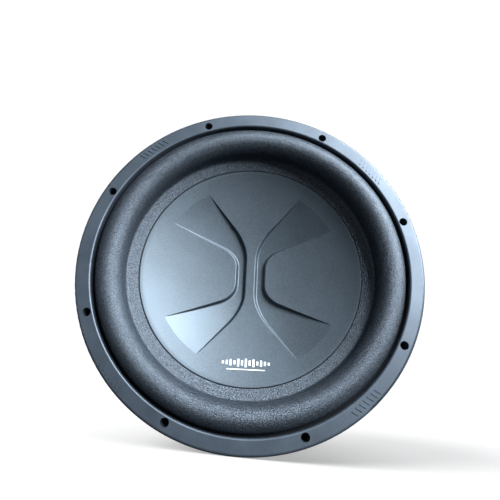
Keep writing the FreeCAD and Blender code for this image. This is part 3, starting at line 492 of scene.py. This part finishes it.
FINISHES = {
    "ring_plastic": ring_plastic(),
    "surround_foam": surround_foam(),
    "dish_plastic": dish_plastic(),
    "cone_paper": cone_paper(),
    "spider_cloth": spider_cloth(),
    "black_steel": black_steel(),
    "ferrite": ferrite(),
    "boot_rubber": boot_rubber(),
    "copper_wire": wound_copper(),
    "screen_metal": screen_metal(),
    "plated_steel": turned_metal("plated_steel_finish", tone(150, 152, 156), tone(186, 188, 190),
                                 0.34),
    "former_aluminium": turned_metal("former_aluminium_finish", tone(168, 170, 174),
                                     tone(200, 202, 205), 0.30),
    "ring_aluminium": turned_metal("ring_aluminium_finish", tone(176, 178, 181),
                                   tone(206, 208, 210), 0.32),
    "screw_steel": bright_metal("screw_steel_finish", tone(58, 58, 60), tone(84, 84, 88), 0.38,
                                tone(112, 98, 80)),
    "tinned_copper": bright_metal("tinned_copper_finish", tone(186, 188, 190),
                                  tone(214, 216, 217), 0.3, tone(176, 128, 92)),
    "contact_brass": bright_metal("contact_brass_finish", tone(196, 158, 82),
                                  tone(222, 190, 118), 0.28, tone(128, 92, 44)),
    "rivet_aluminium": bright_metal("rivet_aluminium_finish", tone(186, 188, 192),
                                    tone(214, 216, 218), 0.33, tone(130, 130, 132)),
    "spring_steel": bright_metal("spring_steel_finish", tone(150, 152, 156), tone(190, 192, 196),
                                 0.26, tone(100, 92, 84)),
    "lead_braid": bright_metal("lead_braid_finish", tone(176, 112, 66), tone(206, 146, 96), 0.32,
                               tone(120, 70, 40)),
    "terminal_plastic": moulded("terminal_plastic_finish", tone(26, 26, 28), tone(36, 36, 39),
                                0.46),
    "button_red": moulded("button_red_finish", tone(150, 18, 16), tone(172, 26, 22), 0.36,
                          Subsurface_Weight=0.05),
    "button_black": moulded("button_black_finish", tone(20, 20, 22), tone(30, 30, 33), 0.36),
}
INK = print_ink()
TAPE = gasket_tape()


def dressed(item, slot_name, material=None):
    """The piece in one of the record's finishes."""
    item.data.materials.clear()
    item.data.materials.append(material or FINISHES[slot_name])
    return item


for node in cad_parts.values():
    for index, material in enumerate(node.data.materials):
        node.data.materials[index] = FINISHES[material.name.split(".")[0]]


# ---- foam surround -----------------------------------------------------------------------------

LAND, CREST, WALL = 3.6, 14.0, 1.6


def make_surround():
    """Foam half roll, with soft bends where the land and the lip meet it."""
    outer, middle, inner = 141.0, 130.6, 117.6
    roll = []
    for step in range(19):
        angle = math.radians(90 * step / 18)
        roll.append((middle + (outer - middle) * math.cos(angle),
                     LAND + (CREST - LAND) * math.sin(angle)))
    for step in range(1, 23):
        angle = math.radians(90 + 90 * step / 22)
        roll.append((middle + (middle - inner) * math.cos(angle),
                     CREST - (middle - inner) * (1 - math.sin(angle))))
    foot = fillet([(roll[-1][0], roll[-1][1], 0), (inner, -9.9, 3.2), (106.5, -14.4, 0)])
    front = [(144.9, LAND), (142.3, LAND + 0.02)] + roll + spread(foot, 1.4)[1:]
    back = beside(front, -WALL).tolist()
    back[0] = [144.9, LAND - WALL]
    item = lathe("foam_surround", front + back[::-1], 400)
    dressed(item, "surround_foam")
    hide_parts("surround")
    radial_blend(item)


make_surround()


# ---- dish --------------------------------------------------------------------------------------

DISH_RADIUS, DISH_EDGE, DISH_CENTRE, DISH_WALL = 106.0, -14.4, -36.0, 1.8
RECESS_RADIUS, RECESS_DEPTH = 91.5, 5.5
EDGE_SOFTNESS = 0.35
DISH_TURN = math.radians(3.0)


def cap(centre, edge, reach):
    """Height of a spherical bowl over the distance from its middle."""
    rise = edge - centre
    ball = (reach * reach + rise * rise) / (2 * rise)
    return lambda radius: centre + ball - np.sqrt(ball * ball - np.square(radius))


dish_top = cap(DISH_CENTRE, DISH_EDGE, DISH_RADIUS)
recess_floor = cap(DISH_CENTRE - RECESS_DEPTH, float(dish_top(RECESS_RADIUS)), RECESS_RADIUS)


def chevron_outline():
    """The right chevron's edge in the dish's own directions, from its lower arm round."""
    def rim(angle):
        turn = math.radians(angle)
        return RECESS_RADIUS * math.cos(turn), RECESS_RADIUS * math.sin(turn)

    outer_tip, inner_tip = rim(59.9), rim(30.6)
    upper = [(4.6, 26.0, 42.0), (13.5, 43.5, 64.0), outer_tip + (0.6,)]
    lower = [inner_tip + (0.6,), (23.2, 24.8, 26.0), (14.6, 15.0, 17.0)]
    arc = [rim(angle) + (0.0,) for angle in np.linspace(58.4, 32.1, 14)]
    half = upper + arc + lower
    corners = half + [(x, -y, r) for x, y, r in half[::-1]]
    line = fillet(corners, closed=True, fine=26)
    return spread(line + line[:1], 2.2)[:-1]


def wall_width(depth):
    """Plan width of the recess's sloping wall where the recess is this deep."""
    return 0.4 + 0.33 * depth


def edge_step(inside, width):
    """Share of the recess's depth at a distance inside its edge, rounded at both ends."""
    share = np.clip((inside / width + 0.15) / 1.2, 0, 1)
    return share * share * (3 - 2 * share)


def distance_inside(points, outline):
    """Signed distance of 2-D points to a closed outline, positive inside it."""
    points = np.asarray(points, float)
    start = np.array(outline, float)
    stop = np.roll(start, -1, axis=0)
    along = stop - start
    best = np.full(len(points), 1e9)
    inside = np.zeros(len(points), bool)
    for a, b, d in zip(start, stop, along):
        share = np.clip(((points - a) @ d) / max(d @ d, 1e-12), 0, 1)
        best = np.minimum(best, np.linalg.norm(points - a - share[:, None] * d, axis=1))
        crosses = (a[1] > points[:, 1]) != (b[1] > points[:, 1])
        if abs(b[1] - a[1]) > 1e-12:
            reach = a[0] + (points[:, 1] - a[1]) * (b[0] - a[0]) / (b[1] - a[1])
            inside ^= crosses & (points[:, 0] < reach)
    return np.where(inside, best, -best)


CHEVRON = chevron_outline()


def dish_height(points):
    """Front height of the dish over 2-D points in its own directions."""
    points = np.asarray(points, float)
    radius = np.minimum(np.linalg.norm(points, axis=1), DISH_RADIUS)
    mirrored = np.column_stack([np.abs(points[:, 0]), points[:, 1]])
    top = dish_top(radius)
    floor = recess_floor(np.minimum(radius, RECESS_RADIUS))
    share = edge_step(distance_inside(mirrored, CHEVRON), wall_width(top - floor))
    return top + (floor - top) * share * (radius < RECESS_RADIUS)


def clocked(points):
    """Points of the dish's own directions turned to where the dish is glued in."""
    turn = np.array([[math.cos(DISH_TURN), -math.sin(DISH_TURN)],
                     [math.sin(DISH_TURN), math.cos(DISH_TURN)]])
    return np.asarray(points, float) @ turn.T


def dish_plan():
    """Flat triangles whose edges follow the rim and both brink and foot of each chevron."""
    points, edges = [], []

    def loop(line):
        first = len(points)
        points.extend(Vector(point) for point in line)
        count = len(line)
        edges.extend((first + k, first + (k + 1) % count) for k in range(count))

    for radius in (DISH_RADIUS, DISH_RADIUS - 0.12, DISH_RADIUS - EDGE_SOFTNESS,
                   RECESS_RADIUS + 1.2):
        turns = np.linspace(0, 2 * math.pi, 240, endpoint=False)
        loop(np.column_stack([np.cos(turns), np.sin(turns)]) * radius)
    edge = np.array(CHEVRON + CHEVRON[:1])
    reach = np.minimum(np.linalg.norm(edge, axis=1), RECESS_RADIUS)
    width = wall_width(dish_top(reach) - recess_floor(reach))[:, None]
    for share in (-0.45, -0.15, 0.0, 0.15, 0.3, 0.45, 0.6, 0.75, 0.9, 1.05, 1.5):
        line = beside(edge, share * width)[:-1]
        loop(line)
        loop(line * np.array([-1.0, 1.0]))
    guard = np.array([(point.x, point.y) for point in points])
    for radius in np.arange(0.0, DISH_RADIUS - 2.0, 3.0):
        count = max(1, round(2 * math.pi * radius / 3.4))
        turns = 2 * math.pi * (np.arange(count) + 0.31 * radius) / count
        for x, y in np.column_stack([np.cos(turns), np.sin(turns)]) * radius:
            if np.min(np.hypot(guard[:, 0] - x, guard[:, 1] - y)) > 1.1:
                points.append(Vector((x, y)))
    found, _, faces, *_ = delaunay_2d_cdt(points, edges, [], 0, 1e-5)
    return np.array([(point.x, point.y) for point in found]), [list(face) for face in faces]


def make_dish():
    """Thin pressed dish, the same height everywhere but for its thickness."""
    flat, faces = dish_plan()
    reach = np.linalg.norm(flat, axis=1)
    height = dish_height(flat)
    soft = np.clip((reach - (DISH_RADIUS - EDGE_SOFTNESS)) / EDGE_SOFTNESS, 0, 1)
    top = np.column_stack([clocked(flat), height - 0.2 * (1 - np.sqrt(1 - soft * soft * 0.98))])
    under = np.column_stack([clocked(flat), height - DISH_WALL])
    count = len(flat)
    whole = faces + [[index + count for index in face[::-1]] for face in faces]
    rim = [index for index in range(count) if reach[index] > DISH_RADIUS - 0.05]
    rim.sort(key=lambda index: math.atan2(flat[index][1], flat[index][0]))
    for a, b in zip(rim, rim[1:] + rim[:1]):
        whole.append([a, b, b + count, a + count])
    item = mesh_object("pressed_dish", np.vstack([top, under]), whole, 50)
    dressed(item, "dish_plastic")
    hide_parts("dish_cone")
    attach(item, CONE)


make_dish()


def make_print():
    """Plain level bars over a thin line, printed near the dish's lower edge."""
    heights = (2.2, 3.6, 5.4, 3.2, 6.6, 4.4, 7.4, 4.4, 6.6, 3.2, 5.4, 3.6, 2.2)
    pitch, half_width, centre_x, centre_y = 3.5, 0.85, -0.5, -84.7
    boxes = []
    for index, height in enumerate(heights):
        middle = (index - len(heights) // 2) * pitch + centre_x
        boxes.append((middle - half_width, middle + half_width, centre_y - height / 2,
                      centre_y + height / 2))
    boxes.append((-18.0, 17.0, -90.9, -90.2))
    points, faces = [], []
    for left, right, low, high in boxes:
        wide = max(2, math.ceil((right - left) / 1.2) + 1)
        tall = max(2, math.ceil((high - low) / 1.2) + 1)
        grid = [(x, y) for y in np.linspace(low, high, tall)
                for x in np.linspace(left, right, wide)]
        first = len(points)
        level = dish_height(grid)
        places = clocked(grid)
        points += [(x, y, z + 0.05) for (x, y), z in zip(places, level)]
        for row in range(tall - 1):
            for column in range(wide - 1):
                corner = first + row * wide + column
                faces.append([corner, corner + 1, corner + wide + 1, corner + wide])
    item = mesh_object("dish_print", points, faces)
    dressed(item, "dish_plastic", INK)
    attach(item, CONE)


make_print()


# ---- cone, spider and boot ---------------------------------------------------------------------


def make_cone():
    """Paper cone with fine pressed rings, a turned rim and a glued neck."""
    front = fillet([(116.8, -12.85, 0), (106.0, -16.6, 3), (98.0, -20.2, 6), (35.0, -53.2, 2.5),
                    (32.65, -54.0, 0)])
    front = np.array(spread(front, 1.0))
    ribs = 0.22 * np.sin(front[:, 0] * 2 * math.pi / 4.2)
    ribs *= np.clip((front[:, 0] - 38) / 6, 0, 1) * np.clip((96 - front[:, 0]) / 6, 0, 1)
    front[:, 1] += ribs - 0.25
    back = beside(front, -0.85)
    back[0] = front[0] - (0, 0.85)
    back = [tuple(point) for point in back if point[1] > -57.6 and point[0] > 33.4]
    loop = [tuple(point) for point in front] + [(32.65, -57.9), (33.6, -57.9)] + back[::-1]
    item = lathe("paper_cone", loop, 300)
    dressed(item, "cone_paper")
    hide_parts("cone_body")
    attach(item, CONE)


make_cone()


def make_spider():
    """Corrugated centring cloth between its flat outer land and the collar on the former."""
    reach = np.concatenate([np.linspace(80.0, 72.2, 8), np.linspace(72.0, 36.2, 150),
                            np.linspace(36.0, 34.4, 4)])
    swell = np.clip((72.0 - reach) / 3, 0, 1) * np.clip((reach - 36.0) / 3, 0, 1)
    level = -66.7 + 1.25 * np.sin((reach - 36.0) * math.pi / 3.8) * swell
    top = list(zip(reach, level + 0.28)) + [(33.75, -66.0), (33.55, -65.2), (33.5, -64.5)]
    bottom = [(32.9, -64.5), (32.9, -66.8)] + list(zip(reach, level - 0.28))[::-1]
    item = lathe("spider_cloth_disc", top + bottom, 300)
    dressed(item, "spider_cloth")
    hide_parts("spider")
    radial_blend(item)


make_spider()


def make_boot():
    """Moulded rubber boot with a beaded lip, three grip grooves and a stepped back."""
    loop = [(75.25, -104.0, 0.4), (77.9, -104.0, 1.0), (77.9, -108.5, 0.8), (76.9, -109.3, 0.4)]
    for depth in (118.0, 124.0, 130.0):
        loop += [(76.9, -depth + 1.7, 0.5), (76.3, -depth + 0.9, 0.5), (76.3, -depth - 0.9, 0.5),
                 (76.9, -depth - 1.7, 0.5)]
    loop += [(77.6, -141.0, 0.8), (77.9, -143.0, 1.0), (77.9, -149.7, 3.2), (70.0, -149.7, 0.5),
             (69.2, -149.1, 0.4), (58.6, -149.1, 0.4), (57.8, -149.7, 0.5), (50.1, -149.7, 0.9),
             (50.1, -147.05, 0.2), (75.25, -147.05, 0.3)]
    item = lathe("rubber_boot", fillet(loop, closed=True, fine=5), 300)
    dressed(item, "boot_rubber")
    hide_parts("magnet_boot")
    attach(item, FRAME)


make_boot()


def make_gasket_hole_shade():
    """Soft sealing tape over the back of the flange, unpierced behind the mounting holes: a dark
    sheet that stands in for the shade inside them.
    """
    loop = [(141.2, -0.05, 0.05), (156.2, -0.05, 0.05), (156.4, -1.15, 0.45), (141.0, -1.15, 0.45)]
    item = lathe("flange_gasket_hole_shade", fillet(loop, closed=True, fine=5), 300)
    dressed(item, "boot_rubber", TAPE)
    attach(item, FRAME)


make_gasket_hole_shade()


# ---- leads, springs and solder -----------------------------------------------------------------

SIDES = (("right", 1), ("left", -1))
COLOURS = (("red", 1), ("black", -1))
BUTTON_PITCH, SOCKET_LEVEL, SOCKET_FLOOR = 9.5, -80.0, 76.1


def lead_route(side, hand):
    """The lead's corner points, from the terminal's tag to the former's tab."""
    tag = Vector((83.6, side * 14.8, -60.2))
    turn = math.radians(13.0 * side)
    outward = Vector((math.cos(turn), math.sin(turn), 0))
    tab = outward * 33.2 + Vector((0, 0, -60.2))
    hump = [tag + (tab - tag) * share + Vector((0, 0, rise)) for share, rise in
            ((0.4, 6.0), (0.62, 6.6))]
    route = [tag, tag - Vector((9.0, 0, 0))] + hump + [tab + outward * 9.0, tab]
    return [Vector((point.x * hand, point.y * hand, point.z)) for point in route]


def smooth_line(route, steps):
    """Points along a NURBS through the route's control points."""
    curve = bpy.data.curves.new("lead_line", "CURVE")
    curve.dimensions = "3D"
    spline = curve.splines.new("NURBS")
    spline.points.add(len(route) - 1)
    for point, place in zip(spline.points, route):
        point.co = (*place, 1.0)
    spline.order_u = 3
    spline.use_endpoint_u = True
    curve.resolution_u = steps
    holder = bpy.data.objects.new("lead_line", curve)
    mesh = bpy.data.meshes.new_from_object(holder)
    line = [vertex.co.copy() for vertex in mesh.vertices]
    bpy.data.meshes.remove(mesh)
    bpy.data.objects.remove(holder)
    bpy.data.curves.remove(curve)
    return line


def make_lead(colour, side, hand_name, hand):
    """Tinsel lead laid up from four strands, free between its two soldered ends."""
    line = smooth_line(lead_route(side, hand), 40)
    strands = []
    travelled = [0.0]
    for a, b in zip(line, line[1:]):
        travelled.append(travelled[-1] + (b - a).length)
    for strand in range(4):
        path = []
        normal = Vector((0, 0, 1))
        for index, here in enumerate(line):
            ahead, back = line[min(index + 1, len(line) - 1)], line[max(index - 1, 0)]
            along = (ahead - back).normalized()
            normal = (normal - along * normal.dot(along)).normalized()
            across = along.cross(normal)
            angle = 2 * math.pi * (travelled[index] / 4.6 + strand / 4)
            path.append(here + (normal * math.cos(angle) + across * math.sin(angle)) * 0.40)
        strands.append(swept("strand", path, 0.38, 7))
    name = "lead_%s_%s" % (colour, hand_name)
    item = joined("tinsel_" + name, strands)
    dressed(item, "lead_braid")
    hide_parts(name)
    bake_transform(item)


def make_spring(colour, side, hand_name, hand):
    """Helical return spring with closed ends, behind its button."""
    low, high, radius = 76.45, 81.55, 2.8
    path = []
    turns, steps = 5.5, 34
    for index in range(int(turns * steps) + 1):
        turn = index / steps
        share = np.clip((turn - 0.8) / (turns - 1.6), 0, 1)
        level = low + (high - low) * share
        angle = 2 * math.pi * turn
        path.append((hand * level, hand * side * BUTTON_PITCH + radius * math.cos(angle),
                     SOCKET_LEVEL + radius * math.sin(angle)))
    name = "button_spring_%s_%s" % (colour, hand_name)
    item = swept("helical_" + name, path, 0.34, 8)
    dressed(item, "spring_steel")
    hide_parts(name)
    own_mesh(item)
    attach(item, FRAME)


def make_solder(colour, side, hand_name, hand):
    """Solder where the lead meets the terminal's tag and the former's tab."""
    line = lead_route(side, hand)
    for end, toward, body, place in ((line[0], line[1], FRAME, "tag"),
                                     (line[-1], line[-2], CONE, "tab")):
        along = (toward - end).normalized()
        across = along.orthogonal().normalized()
        other = along.cross(across)
        points, faces = [], []
        rings, sides = 9, 20
        for ring in range(rings):
            share = ring / (rings - 1)
            girth = 1.75 * (1 - share) ** 0.7 + 0.80 * share
            for step in range(sides):
                angle = 2 * math.pi * step / sides
                lump = girth * (1 + 0.08 * math.sin(3 * angle + ring))
                points.append(end + along * (0.05 + 2.1 * share)
                              + (across * math.cos(angle) + other * math.sin(angle)) * lump)
        for ring in range(rings - 1):
            for step in range(sides):
                after = (step + 1) % sides
                faces.append([ring * sides + step, ring * sides + after,
                              (ring + 1) * sides + after, (ring + 1) * sides + step])
        faces.append(list(range(sides)))
        faces.append([(rings - 1) * sides + step for step in range(sides)])
        item = mesh_object("solder_%s_%s_%s" % (place, colour, hand_name), points, faces, 60)
        dressed(item, "tinned_copper")
        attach(item, body)


for hand_name, hand in SIDES:
    for colour, side in COLOURS:
        make_lead(colour, side, hand_name, hand)
        make_spring(colour, side, hand_name, hand)
        make_solder(colour, side, hand_name, hand)


# ---- floor, light and camera -------------------------------------------------------------------


def make_floor():
    """Plain pale floor under the driver's rim."""
    size = 14.0
    level = CAD_BOX[0][2]
    mesh = bpy.data.meshes.new("floor")
    mesh.from_pydata([(-size, -size, level), (size, -size, level), (size, size, level),
                      (-size, size, level)], [], [(0, 1, 2, 3)])
    floor = bpy.data.objects.new("floor", mesh)
    bpy.context.scene.collection.objects.link(floor)
    finish = Finish("floor_finish", Roughness=0.9, Specular_IOR_Level=0.1)
    finish.set("Base Color", (0.9, 0.9, 0.9, 1.0))
    finish.set("Emission Color", (1.0, 1.0, 1.0, 1.0))
    finish.set("Emission Strength", 0.40)
    mesh.materials.append(finish.material)
    floor.visible_diffuse = False
    floor.visible_glossy = False
    return floor


FLOOR = make_floor()


def lights(lamp, state):
    """The light reaches only the floor, or everything but the floor."""
    receivers = bpy.data.collections.new(lamp.name + "_receivers")
    receivers.objects.link(FLOOR)
    receivers.collection_objects[0].light_linking.link_state = state
    lamp.light_linking.receiver_collection = receivers


def area_light(name, bearing, height, distance, width, tall, power, colour):
    """A soft rectangular light, placed by its bearing right of the face axis and its height."""
    right, up = math.radians(bearing), math.radians(height)
    way = Vector((math.sin(right) * math.cos(up), -math.cos(right) * math.cos(up), math.sin(up)))
    data = bpy.data.lights.new(name, "AREA")
    data.shape = "RECTANGLE"
    data.size = width
    data.size_y = tall
    data.energy = power
    data.color = colour
    lamp = bpy.data.objects.new(name, data)
    lamp.location = way * distance
    lamp.rotation_euler = way.to_track_quat("Z", "Y").to_euler()
    bpy.context.scene.collection.objects.link(lamp)
    lights(lamp, "EXCLUDE")
    return lamp


area_light("key", 45, 34, 1.5, 1.25, 1.25, 120, (0.92, 0.97, 1.0))
area_light("fill", -60, 10, 1.8, 1.2, 1.6, 4, (0.88, 0.94, 1.0))
area_light("back_left", -160, 20, 1.5, 1.3, 1.3, 48, (0.94, 0.97, 1.0))
area_light("back_right", 163, 30, 1.5, 1.3, 1.3, 36, (1.0, 0.98, 0.95))


def floor_light(name, bearing, height, power, breadth):
    """Distant soft light that only lays the driver's shadow on the floor."""
    right, up = math.radians(bearing), math.radians(height)
    way = Vector((math.sin(right) * math.cos(up), -math.cos(right) * math.cos(up), math.sin(up)))
    data = bpy.data.lights.new(name, "SUN")
    data.energy = power
    data.angle = math.radians(breadth)
    lamp = bpy.data.objects.new(name, data)
    lamp.rotation_euler = way.to_track_quat("Z", "Y").to_euler()
    bpy.context.scene.collection.objects.link(lamp)
    lights(lamp, "INCLUDE")


floor_light("floor_left", -60, 33, 2.35, 40)
floor_light("floor_above", 0, 85, 1.1, 70)


def make_world():
    """White behind the driver, and a dim cool room in its reflections."""
    world = bpy.data.worlds.new("studio")
    world.use_nodes = True
    tree = world.node_tree
    room = tree.nodes["Background"]
    room.inputs["Color"].default_value = (0.86, 0.93, 1.0, 1.0)
    room.inputs["Strength"].default_value = 0.10
    white = tree.nodes.new("ShaderNodeBackground")
    white.inputs["Color"].default_value = (1.0, 1.0, 1.0, 1.0)
    white.inputs["Strength"].default_value = 1.05
    seen = tree.nodes.new("ShaderNodeLightPath")
    mix = tree.nodes.new("ShaderNodeMixShader")
    tree.links.new(seen.outputs["Is Camera Ray"], mix.inputs[0])
    tree.links.new(room.outputs[0], mix.inputs[1])
    tree.links.new(white.outputs[0], mix.inputs[2])
    tree.links.new(mix.outputs[0], tree.nodes["World Output"].inputs["Surface"])
    bpy.context.scene.world = world


make_world()


def make_camera():
    data = bpy.data.cameras.new("camera")
    data.lens = 28.85
    data.sensor_width = 36.0
    data.clip_start = 0.01
    camera = bpy.data.objects.new("camera", data)
    camera.location = (-0.00254, -0.35956, -0.09114)
    camera.rotation_euler = [math.radians(angle) for angle in (106.785, -5.780, -1.644)]
    bpy.context.scene.collection.objects.link(camera)
    bpy.context.scene.camera = camera


make_camera()
settings = bpy.context.scene.view_settings
settings.view_transform = "Standard"
settings.look = "None"
